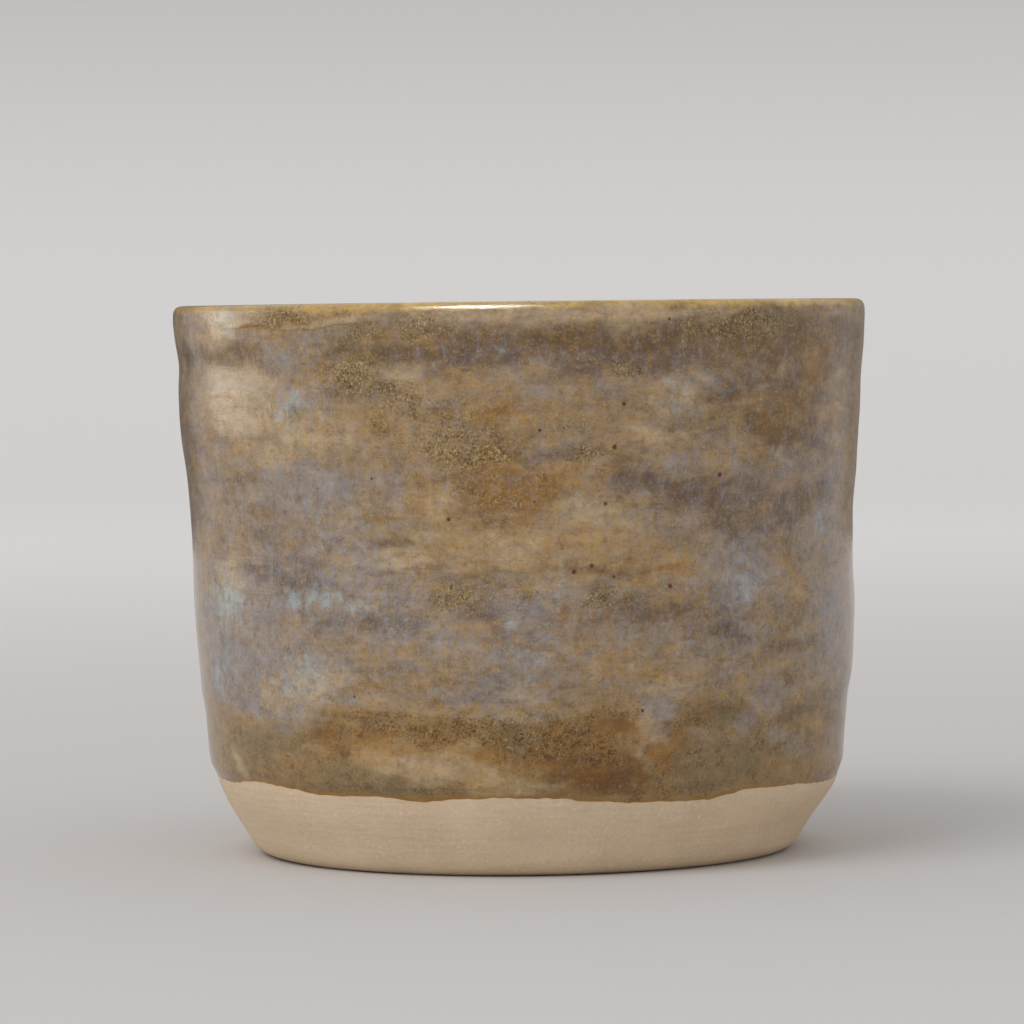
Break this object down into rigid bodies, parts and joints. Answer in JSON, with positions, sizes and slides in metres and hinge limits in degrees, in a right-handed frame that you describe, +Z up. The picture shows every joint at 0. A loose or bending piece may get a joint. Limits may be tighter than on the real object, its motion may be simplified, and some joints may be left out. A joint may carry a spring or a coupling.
{
  "type": "espresso cup",
  "caption": "Hand-thrown stoneware espresso cup without a handle: flared wall, rounded lip, bevelled bare foot and a mottled brushed glaze; holds a hot drink.",
  "frame": {"origin": "middle of the foot, on the surface that the cup stands on", "axes": "+Z up along the cup's turning axis, out of its mouth; X and Y lie in the table, and -Y faces the viewer"},
  "size_m": [0.07, 0.07, 0.0555],
  "materials": {
    "stoneware": "matte",
    "liner_glaze": "satin",
    "amber_glaze": "satin",
    "blue_glaze": "satin",
    "rim_glaze": "gloss"
  },
  "bodies": {
    "root": {"stoneware_body": "stoneware", "liner_glaze": "liner_glaze", "amber_base_glaze": "amber_glaze", "blue_brushed_glaze": "blue_glaze", "rim_glaze": "rim_glaze"}
  },
  "joints": []
}
